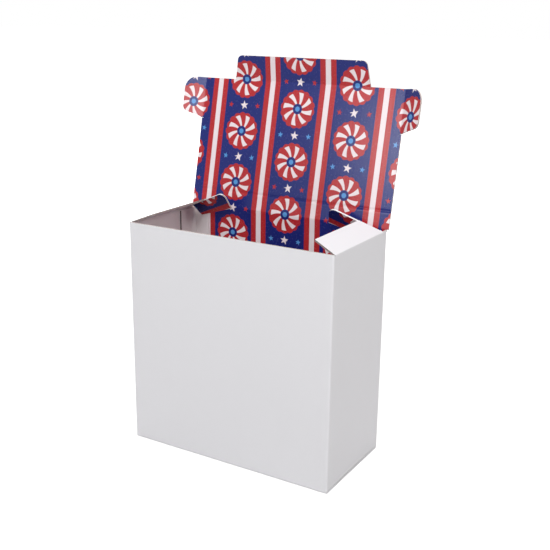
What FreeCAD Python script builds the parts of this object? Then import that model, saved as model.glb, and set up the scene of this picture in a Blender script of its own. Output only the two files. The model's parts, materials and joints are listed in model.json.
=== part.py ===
import FreeCAD, Part
import math
import os
from FreeCAD import Matrix, Placement, Vector

# Corrugated mailer box with its lid and dust flaps open.
# Lengths are millimetres and angles are degrees.
# X runs along the front from left to right, Y from the front to the back, Z up.
# The origin is the middle of the base.

# The body and its board
box_width = 203.0
box_depth = 100.0
box_height = 207.5
board = 1.5
fold_inner_radius = 0.3
back_bottom_radius = 2.6

# Folds that move: the free gap beside a fold's round root, and beside its ends
fold_gap = 0.2
fold_end_gap = 0.4

# The bottom: two outer flaps that hook together, and two inner flaps glued to them
bottom_seam = 0.5
bottom_edge_inset = 0.3
bottom_layer_gap = 0.15
bottom_hook_reach = 12.0
bottom_hook_slant = 6.0
bottom_hook_place = 25.0
inner_flap_length = 46.0
inner_flap_taper = 30.0
inner_flap_end_gap = 1.0

# The glued strip inside the left rear corner
strip_on_back = 15.4
strip_on_side = 25.5
strip_top_drop = 3.0

# The lid: a narrow spine, the main panel, a tuck flap and two ears
lid_rise = 1.5
lid_lean_angle = 12.0
spine_length = 15.0
lid_length = 104.5
lid_side_clearance = 0.35
tuck_width = 138.7
tuck_length = 22.3
tuck_taper = 3.7
tuck_corner_radius = 5.0
tuck_bend_angle = 17.0
ear_root_length = 37.8
ear_outer_length = 32.3
ear_width = 22.3
ear_inner_radius = 6.0
ear_outer_radius = 12.0
ear_left_bend_angle = 10.0
ear_right_bend_angle = 31.0

# The dust flaps on the two side walls, each with a long tab folded down at its rear
dust_raise_angle = 22.5
dust_front_inset = 2.5
dust_rear_inset = 8.0
dust_length = 22.2
dust_front_taper = 4.7
dust_rear_angle = 14.0
dust_corner_radius = 1.5
tab_fold_angle = 66.0
tab_root_start = 2.9
tab_top_end = 50.8
tab_low_start = 4.7
tab_low_end = 46.8
tab_low_start_depth = 13.2
tab_low_end_depth = 17.3
tab_tip_radius = 5.0
tab_corner_radius = 1.0

# Sizes that follow from those above
half_width = box_width / 2
half_depth = box_depth / 2
half_board = board / 2
fold_outer_radius = fold_inner_radius + board
root_clearance = half_board + fold_gap
lid_width = box_width + 2 * (board + lid_side_clearance)
spine_axis = Vector(0, half_depth - half_board, box_height + lid_rise - half_board)
side_axis_x = half_width - half_board
side_axis_z = box_height - half_board
LEFT = -1
RIGHT = 1


def box_between(low, high):
    """A box from its lowest corner to its highest."""
    size = [b - a for a, b in zip(low, high)]
    return Part.makeBox(size[0], size[1], size[2], Vector(*low))


def rounded_wire(corners):
    """A closed wire in the XY plane through (x, y, radius) corners, each one rounded."""
    points = [Vector(x, y, 0) for x, y, _ in corners]
    spans = []
    for i, (_, _, radius) in enumerate(corners):
        here = points[i]
        back = (points[i - 1] - here).normalize()
        ahead = (points[(i + 1) % len(points)] - here).normalize()
        if radius <= 0:
            spans.append((here, None, here))
            continue
        half_angle = back.getAngle(ahead) / 2
        reach = radius / math.tan(half_angle)
        centre = here + (back + ahead).normalize() * (radius / math.sin(half_angle))
        middle = centre + (here - centre).normalize() * radius
        spans.append((here + back * reach, middle, here + ahead * reach))
    edges = []
    for i, (start, middle, end) in enumerate(spans):
        if middle is not None:
            edges.append(Part.Arc(start, middle, end).toShape())
        edges.append(Part.makeLine(end, spans[(i + 1) % len(spans)][0]))
    return Part.Wire(edges)


def sheet(corners):
    """A piece of board with the given outline, its middle plane at Z = 0."""
    face = Part.Face(rounded_wire(corners))
    face.translate(Vector(0, 0, -half_board))
    return face.extrude(Vector(0, 0, board))


def round_root(start, end):
    """The round edge of the board at a fold, from one point to another."""
    along = end - start
    return Part.makeCylinder(half_board, along.Length, start, along)


def hinged_sheet(corners, root_start, root_end):
    """A sheet whose fold runs along the X axis from root_start to root_end."""
    root = round_root(Vector(root_start, 0, 0), Vector(root_end, 0, 0))
    return sheet(corners).fuse(root).removeSplitter()


def put(shape, origin, along, away):
    """Moves a sheet so that its fold lies along one direction and it runs off in another."""
    normal = along.cross(away)
    columns = Matrix(
        along.x, away.x, normal.x, origin.x,
        along.y, away.y, normal.y, origin.y,
        along.z, away.z, normal.z, origin.z,
        0, 0, 0, 1,
    )
    placed = shape.copy()
    placed.Placement = Placement(columns)
    return placed


def turned(direction, towards, angle):
    """A direction turned by an angle towards another one at a right angle to it."""
    a = math.radians(angle)
    return direction * math.cos(a) + towards * math.sin(a)


def plan_prism(half_x, half_y, radius, low, high):
    """A standing block with rounded upright edges."""
    corners = [
        (-half_x, -half_y, radius), (half_x, -half_y, radius),
        (half_x, half_y, radius), (-half_x, half_y, radius),
    ]
    face = Part.Face(rounded_wire(corners))
    face.translate(Vector(0, 0, low))
    return face.extrude(Vector(0, 0, high - low))


def folded_tray():
    """Four walls and the outer bottom, folded round the room inside."""
    outside = plan_prism(half_width, half_depth, fold_outer_radius, 0, box_height)
    side_view = [
        (-half_depth, 0, fold_outer_radius), (half_depth, 0, back_bottom_radius),
        (half_depth, box_height, 0), (-half_depth, box_height, 0),
    ]
    profile = Part.Face(rounded_wire(side_view)).extrude(Vector(0, 0, box_width))
    profile = put(profile, Vector(-half_width, 0, 0), Vector(0, 1, 0), Vector(0, 0, 1))
    room = plan_prism(
        half_width - board, half_depth - board, fold_inner_radius, board, box_height + board
    )
    return outside.common(profile).cut(room)


def bottom_seam_cut():
    """The hooked gap between the front and back outer flaps of the bottom."""
    reach = half_width + board
    step_start = bottom_hook_place - bottom_hook_slant / 2
    step_end = bottom_hook_place + bottom_hook_slant / 2
    line = [
        (-reach, -bottom_hook_reach), (step_start, -bottom_hook_reach),
        (step_end, bottom_hook_reach), (reach, bottom_hook_reach),
    ]
    low = [(x, y - bottom_seam / 2, 0) for x, y in line]
    high = [(x, y + bottom_seam / 2, 0) for x, y in reversed(line)]
    face = Part.Face(rounded_wire(low + high))
    face.translate(Vector(0, 0, -board))
    return face.extrude(Vector(0, 0, 2 * board))


def side_fold_cut(side):
    """The space left free where a side wall folds in over the outer bottom flaps."""
    inner_x = half_width - board
    outer_x = half_width + board
    low_z = board + bottom_layer_gap
    high_z = low_z + board
    drop = board * math.sin(math.radians(45))
    outline = [
        Vector(inner_x, 0, board), Vector(outer_x, 0, board),
        Vector(outer_x, 0, high_z), Vector(half_width, 0, high_z),
    ]
    edges = [Part.makeLine(outline[i], outline[i + 1]) for i in range(3)]
    middle = Vector(inner_x + drop, 0, high_z - drop)
    fold_end = Vector(inner_x, 0, low_z)
    edges.append(Part.Arc(outline[3], middle, fold_end).toShape())
    edges.append(Part.makeLine(fold_end, outline[0]))
    face = Part.Face(Part.Wire(edges))
    face.translate(Vector(0, -half_depth - board, 0))
    cut = face.extrude(Vector(0, box_depth + 2 * board, 0))
    if side == LEFT:
        return cut.mirror(Vector(0, 0, 0), Vector(1, 0, 0))
    return cut


def bottom_edge_cut(side):
    """The outer bottom flaps end a little inside the side walls."""
    inner = side * (half_width - bottom_edge_inset)
    outer = side * (half_width + board)
    return box_between(
        (min(inner, outer), -half_depth - board, -board),
        (max(inner, outer), half_depth + board, board),
    )


def inner_bottom_flap(side):
    """A tapered flap folded in from a side wall and glued to the outer flaps."""
    root = half_depth - board - inner_flap_end_gap
    tip = root - inner_flap_taper
    start = half_width - board
    end = start - inner_flap_length
    corners = [
        (side * start, -root, 0), (side * end, -tip, board),
        (side * end, tip, board), (side * start, root, 0),
    ]
    flap = sheet(corners)
    flap.translate(Vector(0, 0, board + half_board))
    return flap


def corner_strip():
    """The glued strip in the left rear corner, on the side wall and on the back wall."""
    left = -half_width + board
    back = half_depth - board
    top = box_height - strip_top_drop
    bottom = 2 * board
    on_side = box_between((left, back - strip_on_side, bottom), (left + board, back, top))
    on_back = box_between((left, back - board, bottom), (left + strip_on_back, back, top))
    return on_side.fuse(on_back)


def rim_cuts():
    """Room for the round roots of the dust flaps and of the lid."""
    cuts = []
    hinge_top = side_axis_z - root_clearance
    front = -half_depth + dust_front_inset - fold_end_gap
    rear = half_depth - dust_rear_inset + fold_end_gap
    high = box_height + board
    for side in (LEFT, RIGHT):
        inner = side * (half_width - 2 * board)
        outer = side * (half_width + board)
        low_x, high_x = sorted((inner, outer))
        cuts.append(box_between((low_x, front, hinge_top), (high_x, rear, high)))
    lid_top = spine_axis.z - root_clearance
    cuts.append(box_between((-box_width, rear, lid_top), (box_width, box_depth, high)))
    return cuts


def carton_body():
    """The walls, the closed bottom and the glued strip, one folded sheet."""
    body = folded_tray().cut(bottom_seam_cut())
    for side in (LEFT, RIGHT):
        body = body.cut(side_fold_cut(side)).cut(bottom_edge_cut(side))
    extras = [inner_bottom_flap(LEFT), inner_bottom_flap(RIGHT), corner_strip()]
    body = body.fuse(extras).removeSplitter()
    return body.cut(rim_cuts())


def lid_directions():
    """Up the lid, and out of its printed face."""
    up = turned(Vector(0, 0, 1), Vector(0, 1, 0), lid_lean_angle)
    return up, Vector(1, 0, 0).cross(up)


def lid_spine():
    """The narrow panel between the two creases at the back of the lid."""
    half = lid_width / 2
    end = spine_length - root_clearance
    corners = [(-half, 0, 0), (half, 0, 0), (half, end, 0), (-half, end, 0)]
    up, _ = lid_directions()
    return put(hinged_sheet(corners, -half, half), spine_axis, Vector(1, 0, 0), up)


def lid_panel():
    """The main panel of the lid, notched for the roots of its ears and of the tuck flap."""
    half = lid_width / 2
    ear_edge = half - half_board - root_clearance
    ear_start = lid_length - ear_root_length - fold_end_gap
    tuck_half = tuck_width / 2 + fold_end_gap
    tuck_edge = lid_length - root_clearance
    right = [
        (half, 0, 0), (half, ear_start, 0), (ear_edge, ear_start, 0),
        (ear_edge, lid_length, 0), (tuck_half, lid_length, 0), (tuck_half, tuck_edge, 0),
    ]
    left = [(-x, y, r) for x, y, r in reversed(right)]
    up, _ = lid_directions()
    origin = spine_axis + up * spine_length
    return put(hinged_sheet(right + left, -half, half), origin, Vector(1, 0, 0), up)


def tuck_flap():
    """The flap on the lid's free edge."""
    half = tuck_width / 2
    tip = half - tuck_taper
    corners = [
        (-half, 0, 0), (half, 0, 0),
        (tip, tuck_length, tuck_corner_radius), (-tip, tuck_length, tuck_corner_radius),
    ]
    up, out = lid_directions()
    origin = spine_axis + up * (spine_length + lid_length)
    away = turned(up, out, tuck_bend_angle)
    return put(hinged_sheet(corners, -half, half), origin, Vector(1, 0, 0), away)


def lid_ear(side, bend):
    """An ear on a side of the lid, flush with the lid's free edge."""
    start = -ear_root_length
    corners = [
        (start, 0, 0), (-ear_outer_length, ear_width, ear_inner_radius),
        (0, ear_width, ear_outer_radius), (0, 0, 0),
    ]
    up, out = lid_directions()
    edge = Vector(side * (lid_width / 2 - half_board), 0, 0)
    origin = spine_axis + up * (spine_length + lid_length) + edge
    away = turned(Vector(side, 0, 0), out, bend)
    return put(hinged_sheet(corners, start, 0), origin, up, away)


def dust_tab(rear):
    """The tab folded along the slanted rear edge of a flat dust flap, to the flap's +Z side."""
    slant = math.radians(dust_rear_angle)
    crease = Vector(-math.sin(slant), math.cos(slant), 0)
    level = Vector(math.cos(slant), math.sin(slant), 0)
    down = turned(level, Vector(0, 0, 1), tab_fold_angle)
    corners = [
        (tab_root_start, 0, 0), (tab_top_end, 0, tab_tip_radius),
        (tab_low_end, tab_low_end_depth, tab_corner_radius),
        (tab_low_start, tab_low_start_depth, tab_corner_radius),
    ]
    origin = Vector(rear, 0, 0)
    fold_end = dust_length / math.cos(slant)
    root = round_root(origin + crease * tab_root_start, origin + crease * fold_end)
    return put(sheet(corners), origin, crease, down), root


def dust_flap(side):
    """A dust flap and its rear tab, raised from the side wall."""
    front = -half_depth + dust_front_inset
    rear = half_depth - dust_rear_inset
    rear_tip = rear - dust_length * math.tan(math.radians(dust_rear_angle))
    corners = [
        (front, 0, 0), (rear, 0, 0), (rear_tip, dust_length, 0),
        (front + dust_front_taper, dust_length, dust_corner_radius),
    ]
    tab, tab_root = dust_tab(rear)
    flap = hinged_sheet(corners, front, rear).fuse([tab, tab_root]).removeSplitter()
    inward = turned(Vector(1, 0, 0), Vector(0, 0, 1), dust_raise_angle)
    origin = Vector(-side_axis_x, 0, side_axis_z)
    placed = put(flap, origin, Vector(0, 1, 0), inward)
    if side == RIGHT:
        return placed.mirror(Vector(0, 0, 0), Vector(1, 0, 0))
    return placed


nodes = {
    "carton_body": carton_body(),
    "dust_flap_left": dust_flap(LEFT),
    "dust_flap_right": dust_flap(RIGHT),
    "lid_spine": lid_spine(),
    "lid_panel": lid_panel(),
    "tuck_flap": tuck_flap(),
    "lid_ear_left": lid_ear(LEFT, ear_left_bend_angle),
    "lid_ear_right": lid_ear(RIGHT, ear_right_bend_angle),
}

os.makedirs("parts", exist_ok=True)
for name, shape in nodes.items():
    shape.exportStep("parts/" + name + ".step")
    box = shape.BoundBox
    spans = "X %.1f to %.1f, Y %.1f to %.1f, Z %.1f to %.1f" % (
        box.XMin, box.XMax, box.YMin, box.YMax, box.ZMin, box.ZMax,
    )
    print(name, "solids", len(shape.Solids), "valid", shape.isValid(), "mm3 %.0f" % shape.Volume, spans)
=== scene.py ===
import json
import math
import bpy
from mathutils import Matrix, Vector


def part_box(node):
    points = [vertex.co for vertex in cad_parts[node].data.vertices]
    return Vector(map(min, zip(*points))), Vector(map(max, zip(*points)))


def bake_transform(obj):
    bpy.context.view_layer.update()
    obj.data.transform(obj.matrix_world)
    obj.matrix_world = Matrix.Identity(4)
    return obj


# The looks of the corrugated mailer box. Lengths are metres.
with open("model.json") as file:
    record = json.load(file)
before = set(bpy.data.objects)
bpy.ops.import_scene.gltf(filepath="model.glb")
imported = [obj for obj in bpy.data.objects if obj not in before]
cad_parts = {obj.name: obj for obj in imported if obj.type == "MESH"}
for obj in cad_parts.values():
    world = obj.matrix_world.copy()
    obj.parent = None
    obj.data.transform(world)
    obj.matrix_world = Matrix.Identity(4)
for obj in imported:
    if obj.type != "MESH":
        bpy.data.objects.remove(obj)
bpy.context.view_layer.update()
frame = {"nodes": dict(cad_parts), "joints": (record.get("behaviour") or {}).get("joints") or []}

MM = 0.001
JOINTS = {joint["name"]: joint for joint in frame["joints"]}
SIDES = ((-1, "left"), (1, "right"))
RIGHT = Vector((1, 0, 0))
UP = Vector((0, 0, 1))

# The board, and how its cut edge shows two liners with a wave between them and painted shade in
# the hollows
BOARD = 1.5 * MM
HALF_BOARD = BOARD / 2
FLUTE_PITCH = 3.2 * MM
LINER = 0.2 * MM
LINER_SOFTNESS = 0.1 * MM
WAVE_HEIGHT = HALF_BOARD - LINER - 0.1 * MM
WAVE_HALF_WIDTH = 0.16 * MM
WAVE_SOFTNESS = 0.12 * MM

# The print on the inner side: a column of pinwheels, then a straight stripe, over and over
COLUMN_PITCH = 57 * MM
WHEEL_PITCH = 48 * MM
WHEEL_RADIUS = 17.6 * MM
WHEEL_SCALLOP = 0.07
WHEEL_BLADES = 8
WHEEL_TWIST = 0.55
WHEEL_RED_SHARE = 0.58
WHEEL_RIM = 0.84
WHEEL_HUB = 0.27
WHEEL_DOT = 0.13
STRIPE_HALF = 8.0 * MM
STRIPE_WHITE_HALF = 2.6 * MM
STAR_LARGE = 4.3 * MM
STAR_SMALL = 2.8 * MM
STAR_SMALL_X = 14.5 * MM
STAR_INNER_RATIO = 0.42
PRINT_SOFTNESS = 0.25 * MM

# Small turns that differ from one star or pinwheel to the next, in radians
TILT_PER_COLUMN = 2.3
TILT_PER_ROW = 1.7
STAR_TILT = 0.25
WHEEL_TILT_RATIO = 2.0

# How far across the print the middle of a tab lies, which sets where its stripe falls
TAB_PRINT_SHIFT = 17.2 * MM

# Colours
WHITE = (1, 1, 1)
NAVY = (0.008, 0.017, 0.160)
RED = (0.45, 0.022, 0.028)
PRINT_WHITE = (0.85, 0.755, 0.78)
LIGHT_BLUE = (0.09, 0.30, 0.66)
OUTER_WHITE = (0.80, 0.793, 0.818)
INNER_WHITE = (0.88, 0.845, 0.84)
CUT_PAPER = (0.78, 0.70, 0.68)
# painted shade in the hollows of a cut edge, between the wave and the liners
CUT_GAP = (0.36, 0.29, 0.27)
# painted shade for cut edges that lie in shadow: the glued strip's front end and the dust flaps'
# edges
CUT_SHADE = (0.20, 0.16, 0.155)

# How far the dust flaps' cut edges (with the tabs' low ends), and the tabs' sides, go towards the
# painted shade colour
FLAP_EDGE_SHADE = 0.8
TAB_EDGE_SHADE = 0.15

# Noises: scale, detail and roughness
GRAIN_NOISE = (2600.0, 3.0, 0.6)
SLOW_NOISE = (14.0, 1.0, 0.4)
CLOUD_NOISE = (60.0, 4.0, 0.6)
FINE_NOISE = (500.0, 2.0, 0.5)

# The paper's relief: heights of its parts, and the bump's strength and depth
GRAIN_HEIGHT = 0.10
SLOW_HEIGHT = 6.0
FLUTE_HEIGHT = 0.25
RELIEF_STRENGTH = 0.35
RELIEF_DEPTH = 0.06 * MM

# The cloudiness of paper and ink, and how dark it makes a plain colour or one made by nodes
PAPER_CLOUD = 0.10
INK_CLOUD = 0.24
CLOUD_ON_PLAIN = 0.85
CLOUD_ON_NODES = (0.8, 0.8, 0.8, 1)

# Gloss of the plain liner, the print and the cut edges
PLAIN_ROUGHNESS = 0.56
PRINT_ROUGHNESS = 0.20
CUT_ROUGHNESS = 0.9
ROUGHNESS_SPREAD = 0.12
PLAIN_SPECULAR = 0.4
PRINT_SPECULAR = 0.26

# How closely a face looks a way, as the cosine of the angle between them
LOOKS_ALONG = 0.75
SIDE_LOOKS_ALONG = 0.7
TAB_LOOKS_ALONG = 0.9
TAB_END_LOOKS_ALONG = 0.3
MAIN_FACE_LOOKS_ALONG = 0.2
PANEL_EDGE_BELOW = 0.35
DUST_EDGE_BELOW = 0.6

# Places in the body and the tabs that the materials tell apart
BACK_FACE_MARGIN = 0.2 * MM
RIM_DEPTH = 4 * BOARD
STRIP_FRONT_FROM_WALL = 2 * BOARD
TAB_MARGIN = 0.1 * MM

# The thin cover strips over the folds
COVER_ABOVE = 0.07 * MM
COVER_BELOW = 0.02 * MM
COVER_REACH = 2.6 * MM
COVER_STEPS = 8
COVER_PIECE = 8 * MM
COVER_SMOOTH_ANGLE = 40
COVER_BODY_INSET = 0.2 * MM
FLAT_COSINE = 0.999
FLAT_HALF_WIDTH = 1.1 * HALF_BOARD
FLAT_DIP = 0.45 * HALF_BOARD
CORNER_EASE = 0.35 * MM
NEARLY_ZERO = 1e-6

# The floor: it glows where it is seen, more with distance from the box, and keeps the shadow
FLOOR_HALF_SIZE = 12.0
FLOOR_COLOUR = (0.60, 0.60, 0.60, 1)
FLOOR_ROUGHNESS = 0.9
FLOOR_GLOW = (0.6, 1.0)
FLOOR_GLOW_REACH = (0.3, 1.1)

# How strongly the world lights things. Seen directly, it is full white
WORLD_LIGHT = 0.13

# The lamps: each one's place, the point it looks at, the side of its square and its power
BOX_MIDDLE = (0, 0, 0.15)
BOX_TOP = (0, 0, 0.2)
LID_SPOT = (0.1, 0.06, 0.28)
WARM = (1.0, 0.97, 0.95)
LAMPS = {
    "above": dict(place=(0.25, -0.75, 1.65), target=BOX_TOP, size=1.1, power=23.6),
    "front": dict(place=(0.05, -1.5, 0.75), target=BOX_MIDDLE, size=0.6, power=2.4),
    "glare": dict(
        place=(-0.36, -1.23, 0.63), target=LID_SPOT, size=0.22, power=4.1, gloss_only=True
    ),
    "corner": dict(place=(0.6, -1.1, 1.2), target=BOX_TOP, size=0.5, power=4.1),
    "right": dict(place=(1.4, 0.2, 0.9), target=BOX_MIDDLE, size=0.4, power=5.4, colour=WARM),
    "behind": dict(place=(-1.0, 1.7, 1.1), target=BOX_MIDDLE, size=1.2, power=30.0),
}

# The camera, fitted to the photograph: angles in degrees, lens and sensor in camera millimetres
CAMERA_AZIMUTH = 30.663
CAMERA_ELEVATION = 16.607
CAMERA_ROLL = 0.695
CAMERA_LENS = 58.815
CAMERA_SENSOR = 36.0
CAMERA_PLACE = (0.40318, -0.64773, 0.39056)


class Tree:
    """Adds shader nodes to a tree and links them, with plain numbers allowed as inputs."""

    def __init__(self, tree):
        self.tree = tree

    def node(self, kind, **settings):
        made = self.tree.nodes.new(kind)
        for name, value in settings.items():
            setattr(made, name, value)
        return made

    def feed(self, socket, value):
        if isinstance(value, bpy.types.NodeSocket):
            self.tree.links.new(value, socket)
        else:
            socket.default_value = value

    def math(self, operation, *values, clamp=False):
        made = self.node("ShaderNodeMath", operation=operation, use_clamp=clamp)
        for socket, value in zip(made.inputs, values):
            self.feed(socket, value)
        return made.outputs[0]

    def both(self, first, second):
        return self.math("MULTIPLY", first, second)

    def size(self, value):
        return self.math("ABSOLUTE", value)

    def dot(self, vector, direction):
        made = self.node("ShaderNodeVectorMath", operation="DOT_PRODUCT")
        self.feed(made.inputs[0], vector)
        self.feed(made.inputs[1], tuple(direction))
        return made.outputs["Value"]

    def offset(self, position, origin, way):
        """How far a position is from an origin in one direction."""
        return self.math("SUBTRACT", self.dot(position, way), origin.dot(way))

    def length(self, x, y):
        square = self.math("MULTIPLY_ADD", x, x, self.math("MULTIPLY", y, y))
        return self.math("SQRT", square)

    def mix(self, factor, first, second):
        made = self.node("ShaderNodeMix", data_type="RGBA")
        self.feed(made.inputs["Factor"], factor)
        for socket, colour in zip((made.inputs[6], made.inputs[7]), (first, second)):
            linked = isinstance(colour, bpy.types.NodeSocket)
            self.feed(socket, colour if linked else (*colour, 1))
        return made.outputs[2]

    def blend_values(self, factor, first, second):
        made = self.node("ShaderNodeMix", data_type="FLOAT")
        self.feed(made.inputs["Factor"], factor)
        self.feed(made.inputs[2], first)
        self.feed(made.inputs[3], second)
        return made.outputs[0]

    def noise(self, vector, scale, detail, roughness):
        made = self.node("ShaderNodeTexNoise")
        self.feed(made.inputs["Vector"], vector)
        made.inputs["Scale"].default_value = scale
        made.inputs["Detail"].default_value = detail
        made.inputs["Roughness"].default_value = roughness
        return made.outputs["Fac"]

    def inside(self, distance, limit, softness=PRINT_SOFTNESS):
        """1 where distance is under the limit, 0 past it, with a soft edge."""
        gap = self.math("SUBTRACT", limit, distance)
        return self.math("MULTIPLY_ADD", gap, 1 / softness, 0.5, clamp=True)

    def group(self, source, **values):
        made = self.node("ShaderNodeGroup", node_tree=source)
        for name, value in values.items():
            self.feed(made.inputs[name], value)
        return made.outputs[0]

    def object_place(self):
        """Where a point is and which way its face looks, in the frame of the part."""
        made = self.node("ShaderNodeTexCoord")
        return made.outputs["Object"], made.outputs["Normal"]

    def rest_place(self):
        """Where a point of a cover strip is when the part is at rest."""
        return self.node("ShaderNodeAttribute", attribute_name="rest").outputs["Vector"]


def new_group(name, inputs, output, output_kind):
    """An empty shader node group, its builder, its inputs by name and its output socket."""
    source = bpy.data.node_groups.new(name, "ShaderNodeTree")
    for label in inputs:
        source.interface.new_socket(label, in_out="INPUT", socket_type="NodeSocketFloat")
    source.interface.new_socket(output, in_out="OUTPUT", socket_type=output_kind)
    tree = Tree(source)
    start = tree.node("NodeGroupInput")
    end = tree.node("NodeGroupOutput")
    sockets = {label: start.outputs[label] for label in inputs}
    return source, tree, sockets, end.inputs[0]


def star_group():
    """A five-pointed star of radius R round (0, 0), as a mask."""
    source, tree, given, result = new_group(
        "star", ("X", "Y", "R", "Tilt"), "Mask", "NodeSocketFloat"
    )
    distance = tree.length(given["X"], given["Y"])
    angle = tree.math("ADD", tree.math("ARCTAN2", given["X"], given["Y"]), given["Tilt"])
    half_point = math.tau / 5 / 2
    folded = tree.math("PINGPONG", angle, half_point)
    along = tree.math("MULTIPLY", distance, tree.math("COSINE", folded))
    across = tree.math("MULTIPLY", distance, tree.math("SINE", folded))
    edge_x = STAR_INNER_RATIO * math.cos(half_point) - 1
    edge_y = STAR_INNER_RATIO * math.sin(half_point)
    length = math.hypot(edge_x, edge_y)
    normal_x, normal_y = edge_y / length, -edge_x / length
    past_tip = tree.math("MULTIPLY", tree.math("SUBTRACT", along, given["R"]), normal_x)
    outside = tree.math("MULTIPLY_ADD", across, normal_y, past_tip)
    tree.feed(result, tree.inside(outside, 0.0))
    return source


def pinwheel(tree, colour, x, y, tilt):
    """Paints a scalloped red and white pinwheel with a navy hub over a colour."""
    distance = tree.length(x, y)
    angle = tree.math("ADD", tree.math("ARCTAN2", x, y), tilt)
    lobe = tree.size(tree.math("COSINE", tree.math("MULTIPLY", angle, WHEEL_BLADES)))
    reach = tree.math("MULTIPLY_ADD", lobe, WHEEL_SCALLOP, 1 - WHEEL_SCALLOP)
    limit = tree.math("MULTIPLY", reach, WHEEL_RADIUS)
    turn = tree.math("MULTIPLY", angle, WHEEL_BLADES / math.tau)
    turn = tree.math("MULTIPLY_ADD", distance, WHEEL_TWIST / WHEEL_RADIUS, turn)
    from_blade = tree.math("PINGPONG", turn, 0.5)
    to_edge = tree.math("SUBTRACT", WHEEL_RED_SHARE / 2, from_blade)
    arc = tree.math("MULTIPLY", distance, math.tau / WHEEL_BLADES / PRINT_SOFTNESS)
    blade = tree.math("MULTIPLY_ADD", to_edge, arc, 0.5, clamp=True)
    wheel = tree.mix(blade, PRINT_WHITE, RED)
    wheel = tree.mix(tree.inside(distance, WHEEL_RIM * WHEEL_RADIUS), RED, wheel)
    wheel = tree.mix(tree.inside(distance, WHEEL_HUB * WHEEL_RADIUS), wheel, NAVY)
    wheel = tree.mix(tree.inside(distance, WHEEL_DOT * WHEEL_RADIUS), wheel, LIGHT_BLUE)
    return tree.mix(tree.inside(distance, limit), colour, wheel)


def print_group(star):
    """The colours of the print at sheet coordinates A, across, and B, up."""
    source, tree, given, result = new_group("sheet_print", ("A", "B"), "Colour", "NodeSocketColor")

    def in_rows(value, pitch):
        """The number of the nearest row, and how far a value is from that row."""
        row = tree.math("ROUND", tree.math("DIVIDE", value, pitch))
        return row, tree.math("SUBTRACT", value, tree.math("MULTIPLY", row, pitch))

    column, x = in_rows(given["A"], COLUMN_PITCH)
    odd_column = tree.math("FLOORED_MODULO", column, 2.0)
    shifted = tree.math("MULTIPLY_ADD", odd_column, WHEEL_PITCH / 2, given["B"])
    row, y = in_rows(shifted, WHEEL_PITCH)
    between_row, y_between = in_rows(tree.math("ADD", shifted, WHEEL_PITCH / 2), WHEEL_PITCH)
    side = tree.size(x)
    turn = tree.math("MULTIPLY", row, TILT_PER_ROW)
    turn = tree.math("MULTIPLY_ADD", column, TILT_PER_COLUMN, turn)
    tilt = tree.math("MULTIPLY", tree.math("SINE", turn), STAR_TILT)

    from_small = tree.math("SUBTRACT", side, STAR_SMALL_X)
    small = tree.group(star, X=from_small, Y=y_between, R=STAR_SMALL, Tilt=tilt)
    large = tree.group(star, X=x, Y=y_between, R=STAR_LARGE, Tilt=tilt)
    odd_row = tree.math("FLOORED_MODULO", between_row, 2.0)
    colour = tree.mix(small, NAVY, tree.mix(odd_row, LIGHT_BLUE, RED))
    colour = tree.mix(large, colour, PRINT_WHITE)

    from_stripe = tree.math("SUBTRACT", COLUMN_PITCH / 2, side)
    colour = tree.mix(tree.inside(from_stripe, STRIPE_HALF), colour, RED)
    colour = tree.mix(tree.inside(from_stripe, STRIPE_WHITE_HALF), colour, PRINT_WHITE)
    wheel_tilt = tree.math("MULTIPLY", tilt, WHEEL_TILT_RATIO)
    tree.feed(result, pinwheel(tree, colour, x, y, wheel_tilt))
    return source


PRINT = print_group(star_group())


def new_material(name):
    """A material with a Principled shader, its tree builder and the shader."""
    made = bpy.data.materials.new(name)
    made.use_nodes = True
    shader = made.node_tree.nodes["Principled BSDF"]
    return made, Tree(made.node_tree), shader


def paper_relief(tree, shader, position, across=None):
    """Fibre grain, the slow unevenness of real board, and faint flute lines along across."""
    grain = tree.noise(position, *GRAIN_NOISE)
    slow = tree.noise(position, *SLOW_NOISE)
    flutes = 0.0
    if across is not None:
        phase = tree.math("MULTIPLY", across, math.tau / FLUTE_PITCH)
        flutes = tree.math("MULTIPLY", tree.math("COSINE", phase), FLUTE_HEIGHT)
    height = tree.math("MULTIPLY_ADD", grain, GRAIN_HEIGHT, flutes)
    height = tree.math("MULTIPLY_ADD", slow, SLOW_HEIGHT, height)
    bump = tree.node("ShaderNodeBump")
    bump.inputs["Strength"].default_value = RELIEF_STRENGTH
    bump.inputs["Distance"].default_value = RELIEF_DEPTH
    tree.feed(bump.inputs["Height"], height)
    tree.feed(shader.inputs["Normal"], bump.outputs["Normal"])


def cut_edge(tree, along, through):
    """The look of a cut edge: two liners and the wave between them, with painted shade in the
    hollows.
    """
    phase = tree.math("MULTIPLY", along, math.tau / FLUTE_PITCH)
    wave = tree.math("MULTIPLY", tree.math("SINE", phase), WAVE_HEIGHT)
    off_wave = tree.size(tree.math("SUBTRACT", through, wave))
    on_wave = tree.inside(off_wave, WAVE_HALF_WIDTH, WAVE_SOFTNESS)
    between_liners = tree.inside(tree.size(through), HALF_BOARD - LINER, LINER_SOFTNESS)
    in_liner = tree.math("SUBTRACT", 1.0, between_liners)
    paper = tree.math("MAXIMUM", on_wave, in_liner)
    return tree.mix(paper, CUT_GAP, CUT_PAPER)


def mottled(tree, position, colour, amount):
    """A colour with the slight cloudiness of paper or ink."""
    cloud = tree.noise(position, *CLOUD_NOISE)
    factor = tree.math("MULTIPLY", cloud, amount)
    if not isinstance(colour, bpy.types.NodeSocket):
        return tree.mix(factor, colour, tuple(c * CLOUD_ON_PLAIN for c in colour))
    made = tree.node("ShaderNodeMix", data_type="RGBA", blend_type="MULTIPLY")
    tree.feed(made.inputs["Factor"], factor)
    tree.feed(made.inputs[6], colour)
    made.inputs[7].default_value = CLOUD_ON_NODES
    return made.outputs[2]


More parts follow.
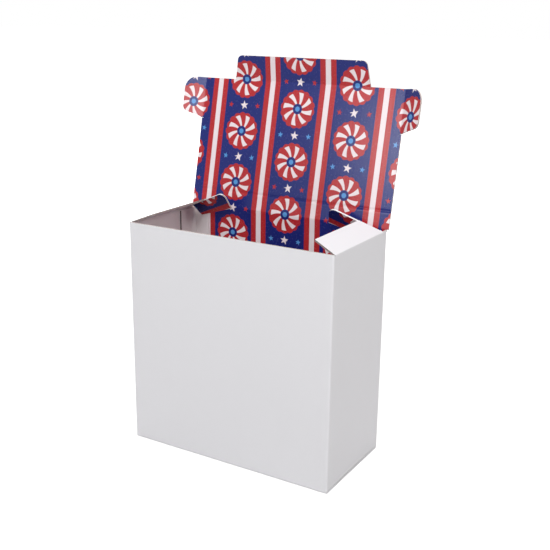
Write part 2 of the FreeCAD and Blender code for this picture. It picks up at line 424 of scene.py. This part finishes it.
def finish_board(tree, shader, position, white, printed=None, ink=None, edge=None, cut=None):
    """Joins the plain liner, the print and the cut edge into one colour and gloss.

    ink shows where printed is 1, and cut, the look of a cut edge, shows where edge is 1.
    """
    colour = mottled(tree, position, white, PAPER_CLOUD)
    roughness = PLAIN_ROUGHNESS
    if ink is not None:
        colour = tree.mix(printed, colour, mottled(tree, position, ink, INK_CLOUD))
        roughness = tree.blend_values(printed, PLAIN_ROUGHNESS, PRINT_ROUGHNESS)
    spread = tree.math("MULTIPLY", tree.noise(position, *FINE_NOISE), ROUGHNESS_SPREAD)
    roughness = tree.math("ADD", roughness, spread)
    if cut is not None:
        colour = tree.mix(edge, colour, cut)
        roughness = tree.blend_values(edge, roughness, CUT_ROUGHNESS)
    tree.feed(shader.inputs["Base Color"], colour)
    tree.feed(shader.inputs["Roughness"], roughness)
    specular = PLAIN_SPECULAR if ink is None else PRINT_SPECULAR
    shader.inputs["Specular IOR Level"].default_value = specular


class Panel:
    """A flat panel's directions: along its fold, away from it, and out of its inner face."""

    def __init__(self, origin, along, away, inner):
        self.origin = Vector(origin)
        self.along = Vector(along).normalized()
        self.away = Vector(away).normalized()
        self.inner = Vector(inner).normalized()


def main_face(node, way):
    """The normal and the middle of a node's largest flat face that looks a way."""
    faces = {}
    for polygon in frame["nodes"][node].data.polygons:
        key = tuple(round(c, 2) for c in polygon.normal)
        if polygon.normal.dot(Vector(way)) > MAIN_FACE_LOOKS_ALONG:
            area, normal, middle = faces.get(key, (0.0, Vector(), Vector()))
            faces[key] = (
                area + polygon.area,
                normal + polygon.normal * polygon.area,
                middle + polygon.center * polygon.area,
            )
    area, normal, middle = max(faces.values(), key=lambda item: item[0])
    return normal.normalized(), middle / area


def turned_to(vector, way):
    """A vector or its opposite, whichever points more a way."""
    return vector if vector.dot(way) > 0 else -vector


def span_along(node, origin, axis, within=math.inf):
    """How far a node's corners that are near a hinge reach along it, at both ends."""
    corners = [Vector(v.co) - origin for v in frame["nodes"][node].data.vertices]
    places = [corner.dot(axis) for corner in corners if corner.cross(axis).length < within]
    return min(places), max(places)


def sheet_ink(tree, position, sheet_a, sheet_b):
    """The print's colour. Two (direction, constant) pairs give the sheet coordinates."""
    a, b = (
        tree.math("ADD", tree.dot(position, way), constant) for way, constant in (sheet_a, sheet_b)
    )
    return tree.group(PRINT, A=a, B=b)


def panel_material(name, panel, sheet_a, sheet_b):
    """Board of one panel: printed on its inner face, white outside, fluted at its cut edges."""
    made, tree, shader = new_material(name)
    position, normal = tree.object_place()
    facing = tree.dot(normal, panel.inner)
    along = tree.offset(position, panel.origin, panel.along)
    through = tree.offset(position, panel.origin, panel.inner)
    finish_board(
        tree, shader, position, OUTER_WHITE,
        printed=tree.math("GREATER_THAN", facing, LOOKS_ALONG),
        ink=sheet_ink(tree, position, sheet_a, sheet_b),
        edge=tree.math("LESS_THAN", tree.size(facing), PANEL_EDGE_BELOW),
        cut=cut_edge(tree, along, through),
    )
    paper_relief(tree, shader, position, along)
    return made


def cover_print_material(name, sheet_a, sheet_b):
    """The print on the cover strips inside the folds."""
    made, tree, shader = new_material(name)
    position = tree.rest_place()
    ink = sheet_ink(tree, position, sheet_a, sheet_b)
    finish_board(tree, shader, position, OUTER_WHITE, printed=1.0, ink=ink)
    paper_relief(tree, shader, position)
    return made


def cover_white_material(name, white):
    """The plain liner on the cover strips over unprinted folds."""
    made, tree, shader = new_material(name)
    position = tree.rest_place()
    finish_board(tree, shader, position, white)
    paper_relief(tree, shader, position)
    return made


def body_material(fold_height, half_width, half_depth):
    """The walls and the bottom: print on the back wall's inner face, white elsewhere.

    The rim is fluted, and the front end of the glued corner strip is painted in shade.
    """
    made, tree, shader = new_material("carton_board")
    position, normal = tree.object_place()
    x, y, z = (tree.dot(position, way) for way in ((1, 0, 0), (0, 1, 0), (0, 0, 1)))
    normal_x, normal_y, normal_z = (
        tree.dot(normal, way) for way in ((1, 0, 0), (0, 1, 0), (0, 0, 1))
    )
    size_x, size_y = tree.size(x), tree.size(y)

    ink = tree.group(PRINT, A=x, B=tree.math("SUBTRACT", z, fold_height))
    faces_front = tree.math("LESS_THAN", normal_y, -LOOKS_ALONG)
    at_back = tree.math("GREATER_THAN", y, half_depth - BOARD - BACK_FACE_MARGIN)
    printed = tree.both(faces_front, at_back)

    high = tree.math("GREATER_THAN", z, fold_height - RIM_DEPTH)
    rim = tree.both(high, tree.math("GREATER_THAN", normal_z, LOOKS_ALONG))
    from_side = tree.math("SUBTRACT", size_x, half_width - HALF_BOARD)
    from_front = tree.math("SUBTRACT", size_y, half_depth - HALF_BOARD)
    on_side = tree.math("LESS_THAN", tree.size(from_side), tree.size(from_front))
    along = tree.blend_values(on_side, x, y)
    through = tree.blend_values(on_side, from_front, from_side)

    # The front end of the glued corner strip, which gets painted shade
    from_side_wall = tree.math("SUBTRACT", half_width - BOARD, size_x)
    from_back_wall = tree.math("SUBTRACT", half_depth - BOARD, size_y)
    by_wall = tree.math("COMPARE", from_side_wall, HALF_BOARD, HALF_BOARD)
    off_back = tree.math("GREATER_THAN", from_back_wall, STRIP_FRONT_FROM_WALL)
    strip_front = tree.both(faces_front, tree.both(by_wall, off_back))

    indoors = tree.both(
        tree.math("LESS_THAN", size_x, half_width - HALF_BOARD),
        tree.math("LESS_THAN", size_y, half_depth - HALF_BOARD),
    )
    finish_board(
        tree, shader, position, tree.mix(indoors, OUTER_WHITE, INNER_WHITE),
        printed=printed, ink=ink,
        edge=tree.math("MAXIMUM", rim, strip_front),
        cut=tree.mix(strip_front, cut_edge(tree, along, through), CUT_SHADE),
    )
    side_face = tree.math("GREATER_THAN", tree.size(normal_x), SIDE_LOOKS_ALONG)
    paper_relief(tree, shader, position, tree.blend_values(side_face, x, y))
    return made


def dust_material(name, flap, tab):
    """A dust flap: white on both sides, with the print on the tab's front.

    Its cut edges are painted in shade, all but the tab's sides, which stay nearly as light as the
    paper.
    """
    made, tree, shader = new_material(name)
    position, normal = tree.object_place()
    along_tab = tree.offset(position, tab.origin, tab.along)
    down_tab = tree.offset(position, tab.origin, tab.away)
    across_stripe = tree.math("ADD", down_tab, TAB_PRINT_SHIFT)
    ink = tree.group(PRINT, A=across_stripe, B=along_tab)

    off_flap = tree.offset(position, flap.origin, flap.inner)
    off_tab = tree.offset(position, tab.origin, tab.inner)
    on_tab = tree.math("LESS_THAN", tree.size(off_tab), HALF_BOARD + TAB_MARGIN)
    towards_front = tree.dot(normal, tab.inner)
    printed = tree.both(tree.math("GREATER_THAN", towards_front, TAB_LOOKS_ALONG), on_tab)
    facing_flap = tree.size(tree.dot(normal, flap.inner))
    facing_tab = tree.both(tree.size(towards_front), on_tab)
    facing = tree.math("MAXIMUM", facing_flap, facing_tab)

    along_flap = tree.dot(position, flap.along)
    along = tree.blend_values(on_tab, along_flap, along_tab)
    through = tree.blend_values(on_tab, off_flap, off_tab)
    # Painted shade on the cut edges: strong on the flap's edges and the tab's low end, faint on
    # the tab's sides
    low_end = tree.math("GREATER_THAN", tree.dot(normal, tab.away), TAB_END_LOOKS_ALONG)
    tab_side = tree.both(on_tab, tree.math("SUBTRACT", 1.0, low_end))
    shade = tree.blend_values(tab_side, FLAP_EDGE_SHADE, TAB_EDGE_SHADE)
    finish_board(
        tree, shader, position, OUTER_WHITE, printed=printed, ink=ink,
        edge=tree.math("LESS_THAN", facing, DUST_EDGE_BELOW),
        cut=tree.mix(shade, cut_edge(tree, along, through), CUT_SHADE),
    )
    paper_relief(tree, shader, position, along_flap)
    return made


def set_material(node, made):
    """Gives a CAD node its one material."""
    data = frame["nodes"][node].data
    data.materials.clear()
    data.materials.append(made)


def joint_place(name):
    """A hinge's point and axis at rest."""
    joint = JOINTS[name]
    return Vector(joint["pos_m"]), Vector(joint["axis"]).normalized()


def cover_section(parent_way, child_way, parent_out, child_out, lift):
    """The line of a cover over a fold, seen along the fold, from the parent to the child.

    Over a flat fold it dips a little, round the outside of a bend it follows an arc, and inside
    a bend it turns in the corner.
    """
    shares = [i / COVER_STEPS for i in range(COVER_STEPS + 1)]
    bend_open = (
        parent_way.dot(child_out) < -NEARLY_ZERO or child_way.dot(parent_out) < -NEARLY_ZERO
    )
    if parent_out.dot(child_out) > FLAT_COSINE:
        middle = []
        for share in shares:
            along = 2 * share - 1
            dip = FLAT_DIP * (1 - abs(along))
            middle.append(parent_way * (-along * FLAT_HALF_WIDTH) + parent_out * (lift - dip))
    elif bend_open:
        angle = parent_out.angle(child_out)
        middle = [
            (parent_out * math.sin((1 - t) * angle) + child_out * math.sin(t * angle))
            / math.sin(angle) * lift
            for t in shares
        ]
    else:
        corner = (parent_out + child_out) * (lift / (1 + parent_out.dot(child_out)))
        before = corner + parent_way * CORNER_EASE
        after = corner + child_way * CORNER_EASE
        middle = [
            before * (1 - t) ** 2 + corner * (2 * t * (1 - t)) + after * t ** 2 for t in shares
        ]
    start = parent_way * COVER_REACH + parent_out * lift
    end = child_way * COVER_REACH + child_out * lift
    return [start] + middle + [end]


def cover_mesh(name, ring, origin, axis, span):
    """A closed strip with one cross-section all along a hinge. It stores its place at rest."""
    low_end, high_end = span
    count = max(2, round((high_end - low_end) / COVER_PIECE))
    vertices = []
    for i in range(count + 1):
        place = origin + axis * (low_end + (high_end - low_end) * i / count)
        vertices += [place + point for point in ring]
    size = len(ring)
    faces = []
    for i in range(count):
        for j in range(size):
            k = (j + 1) % size
            faces.append((i * size + j, i * size + k, (i + 1) * size + k, (i + 1) * size + j))
    for i in (0, count):
        base = i * size
        for j in range(size // 2 - 1):
            quad = (base + j, base + j + 1, base + size - 2 - j, base + size - 1 - j)
            faces.append(quad if i else quad[::-1])
    mesh = bpy.data.meshes.new(name)
    mesh.from_pydata([tuple(v) for v in vertices], [], faces)
    mesh.validate()
    rest = mesh.attributes.new("rest", "FLOAT_VECTOR", "POINT")
    rest.data.foreach_set("vector", [c for v in vertices for c in v])
    return mesh


def fold_cover(name, joint_name, parent_way, child_way, out, span, finish):
    """A thin liner over a fold, along a span of the hinge, shaped round the fold as it lies at
    rest.
    """
    origin, axis = joint_place(joint_name)
    parent_way = (parent_way - axis * parent_way.dot(axis)).normalized()
    child_way = (child_way - axis * child_way.dot(axis)).normalized()
    ways = (
        parent_way, child_way,
        turned_to(axis.cross(parent_way).normalized(), out),
        turned_to(axis.cross(child_way).normalized(), out),
    )
    top = cover_section(*ways, HALF_BOARD + COVER_ABOVE)
    low = cover_section(*ways, HALF_BOARD - COVER_BELOW)
    mesh = cover_mesh(name, top + low[::-1], origin, axis, span)
    made = bpy.data.objects.new(name, mesh)
    bpy.context.scene.collection.objects.link(made)
    bpy.context.view_layer.objects.active = made
    bpy.ops.object.select_all(action="DESELECT")
    made.select_set(True)
    bpy.ops.object.mode_set(mode="EDIT")
    bpy.ops.mesh.select_all(action="SELECT")
    bpy.ops.mesh.normals_make_consistent(inside=False)
    bpy.ops.object.mode_set(mode="OBJECT")
    bpy.ops.object.shade_smooth_by_angle(angle=math.radians(COVER_SMOOTH_ANGLE))
    mesh.materials.append(finish)
    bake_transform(made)


def dress_lid():
    """Materials and fold covers of the spine, the lid, its tuck flap and its ears."""
    spine_origin, _ = joint_place("spine_fold")
    lid_origin, _ = joint_place("lid_fold")
    tuck_origin, _ = joint_place("tuck_fold")
    up = (lid_origin - spine_origin).normalized()
    inner = RIGHT.cross(up)
    across = (RIGHT, 0.0)
    climb = (up, -spine_origin.dot(up))
    flat = Panel(spine_origin, RIGHT, up, inner)
    set_material("lid_spine", panel_material("spine_board", flat, across, climb))
    set_material("lid_panel", panel_material("lid_board", flat, across, climb))

    tuck_inner, _ = main_face("tuck_flap", inner)
    tuck_up = tuck_inner.cross(RIGHT)
    climb_to_tuck = (tuck_origin - spine_origin).dot(up)
    tuck = Panel(tuck_origin, RIGHT, tuck_up, tuck_inner)
    tuck_climb = (tuck_up, climb_to_tuck - tuck_origin.dot(tuck_up))
    set_material("tuck_flap", panel_material("tuck_board", tuck, across, tuck_climb))

    faces = (
        ("inner", inner, cover_print_material("lid_fold_print", across, climb)),
        ("outer", -inner, cover_white_material("lid_fold_white", OUTER_WHITE)),
    )
    low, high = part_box("carton_body")
    spine_low, spine_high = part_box("lid_spine")
    tuck_low, tuck_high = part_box("tuck_flap")
    body_span = (low.x + COVER_BODY_INSET, high.x - COVER_BODY_INSET)
    spine_span = (spine_low.x, spine_high.x)
    tuck_span = (tuck_low.x, tuck_high.x)
    for face, way, finish in faces:
        for fold, parent_way, child_way, span, bodies in (
            ("spine", -UP, up, body_span, ("carton", "spine")),
            ("lid", -up, up, spine_span, ("spine", "lid")),
            ("tuck", -up, tuck_up, tuck_span, ("lid", "tuck")),
        ):
            name = "crease_" + fold + "_" + face
            fold_cover(name, fold + "_fold", parent_way, child_way, way, span, finish)

    for side, word in SIDES:
        node = "lid_ear_" + word
        joint_name = "ear_" + word + "_fold"
        origin, axis = joint_place(joint_name)
        ear_inner, _ = main_face(node, inner)
        out = turned_to(up.cross(ear_inner), RIGHT * side)
        ear_across = (out * side, origin.x - origin.dot(out * side))
        ear = Panel(origin, up, out, ear_inner)
        set_material(node, panel_material("ear_board_" + word, ear, ear_across, climb))
        span = span_along(node, origin, axis)
        bodies = ("lid", "ear_" + word)
        for face, way, finish in faces:
            name = "crease_ear_" + word + "_" + face
            fold_cover(name, joint_name, -RIGHT * side, out, way, span, finish)


def dress_body():
    """The material of the walls and the bottom."""
    spine_origin, _ = joint_place("spine_fold")
    _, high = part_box("carton_body")
    set_material("carton_body", body_material(spine_origin.z, high.x, high.y))


def dress_dust_flaps():
    """Materials and fold covers of the two dust flaps."""
    white = cover_white_material("dust_fold_white", OUTER_WHITE)
    inside = cover_white_material("dust_fold_inside", INNER_WHITE)
    for side, word in SIDES:
        node = "dust_flap_" + word
        joint_name = "dust_" + word + "_fold"
        origin, axis = joint_place(joint_name)
        to_middle = -RIGHT * side
        upper, _ = main_face(node, (0, 0, 1))
        inward = turned_to(axis.cross(upper), to_middle)
        flap = Panel(origin, (0, 1, 0), inward, upper)
        tab_inner, middle = main_face(node, (0, -1, 0))
        crease = turned_to(tab_inner.cross(upper).normalized(), to_middle)
        fall = turned_to(tab_inner.cross(crease), -UP)
        tab = Panel(middle - tab_inner * HALF_BOARD, crease, fall, tab_inner)
        set_material(node, dust_material("dust_board_" + word, flap, tab))

        span = span_along(node, origin, axis, within=BOARD)
        outer_way = UP - to_middle
        for face, way, finish in (("outer", outer_way, white), ("inner", -outer_way, inside)):
            name = "crease_dust_" + word + "_" + face
            fold_cover(name, joint_name, -UP, inward, way, span, finish)


def seen_directly(tree):
    """1 for what the camera, gloss and glass show, and 0 for light that falls on things."""
    path = tree.node("ShaderNodeLightPath")
    shown = tree.math("MAXIMUM", path.outputs["Is Camera Ray"], path.outputs["Is Glossy Ray"])
    return tree.math("MAXIMUM", shown, path.outputs["Is Transmission Ray"])


def make_floor():
    """A wide white floor that keeps the box's shadow."""
    mesh = bpy.data.meshes.new("floor")
    size = FLOOR_HALF_SIZE
    corners = [(-size, -size, 0), (size, -size, 0), (size, size, 0), (-size, size, 0)]
    mesh.from_pydata(corners, [], [(0, 1, 2, 3)])
    floor = bpy.data.objects.new("floor", mesh)
    bpy.context.scene.collection.objects.link(floor)
    made, tree, shader = new_material("floor_white")
    shader.inputs["Base Color"].default_value = FLOOR_COLOUR
    shader.inputs["Roughness"].default_value = FLOOR_ROUGHNESS
    shader.inputs["Specular IOR Level"].default_value = 0.0
    position, _ = tree.object_place()
    distance = tree.node("ShaderNodeVectorMath", operation="LENGTH")
    tree.feed(distance.inputs[0], position)
    spread = tree.node("ShaderNodeMapRange", interpolation_type="SMOOTHSTEP")
    values = (distance.outputs["Value"], *FLOOR_GLOW_REACH, *FLOOR_GLOW)
    for socket, value in zip(spread.inputs, values):
        tree.feed(socket, value)
    glow = tree.node("ShaderNodeEmission")
    glow.inputs["Color"].default_value = (*WHITE, 1)
    strength = tree.math("MULTIPLY", seen_directly(tree), spread.outputs[0])
    tree.feed(glow.inputs["Strength"], strength)
    both = tree.node("ShaderNodeAddShader")
    tree.feed(both.inputs[0], shader.outputs[0])
    tree.feed(both.inputs[1], glow.outputs[0])
    tree.feed(made.node_tree.nodes["Material Output"].inputs["Surface"], both.outputs[0])
    mesh.materials.append(made)


def make_world():
    """Even weak light all round, seen as white."""
    world = bpy.data.worlds.new("studio")
    bpy.context.scene.world = world
    world.use_nodes = True
    tree = Tree(world.node_tree)
    back = world.node_tree.nodes["Background"]
    back.inputs["Color"].default_value = (*WHITE, 1)
    strength = tree.blend_values(seen_directly(tree), WORLD_LIGHT, 1.0)
    tree.feed(back.inputs["Strength"], strength)


def area_light(name, place, target, size, power, colour=WHITE, gloss_only=False):
    """A soft square light that looks at a point. One that is gloss only lights no matt surface."""
    data = bpy.data.lights.new(name, "AREA")
    data.size = size
    data.energy = power
    data.color = colour
    lamp = bpy.data.objects.new(name, data)
    lamp.location = place
    lamp.rotation_euler = (Vector(target) - Vector(place)).to_track_quat("-Z", "Y").to_euler()
    lamp.visible_diffuse = not gloss_only
    bpy.context.scene.collection.objects.link(lamp)


def make_lights():
    """Main light from above, a sheen on the lid, and fill from in front, right and behind."""
    for name, lamp in LAMPS.items():
        area_light(name, **lamp)


def make_camera():
    """The camera at the photograph's viewing angle."""
    angles = (CAMERA_AZIMUTH, CAMERA_ELEVATION, CAMERA_ROLL)
    azimuth, elevation, roll = (math.radians(angle) for angle in angles)
    forward = Vector((
        -math.sin(azimuth) * math.cos(elevation),
        math.cos(azimuth) * math.cos(elevation),
        -math.sin(elevation),
    ))
    level = forward.cross(UP).normalized()
    upward = level.cross(forward)
    right = level * math.cos(roll) + upward * math.sin(roll)
    up = upward * math.cos(roll) - level * math.sin(roll)
    data = bpy.data.cameras.new("camera")
    data.sensor_width = CAMERA_SENSOR
    data.lens = CAMERA_LENS
    camera = bpy.data.objects.new("camera", data)
    turn = Matrix((right, up, -forward)).transposed().to_4x4()
    camera.matrix_world = Matrix.Translation(CAMERA_PLACE) @ turn
    bpy.context.scene.collection.objects.link(camera)
    bpy.context.scene.camera = camera


dress_lid()
dress_body()
dress_dust_flaps()
make_floor()
make_world()
make_lights()
make_camera()
bpy.context.scene.view_settings.view_transform = "Standard"
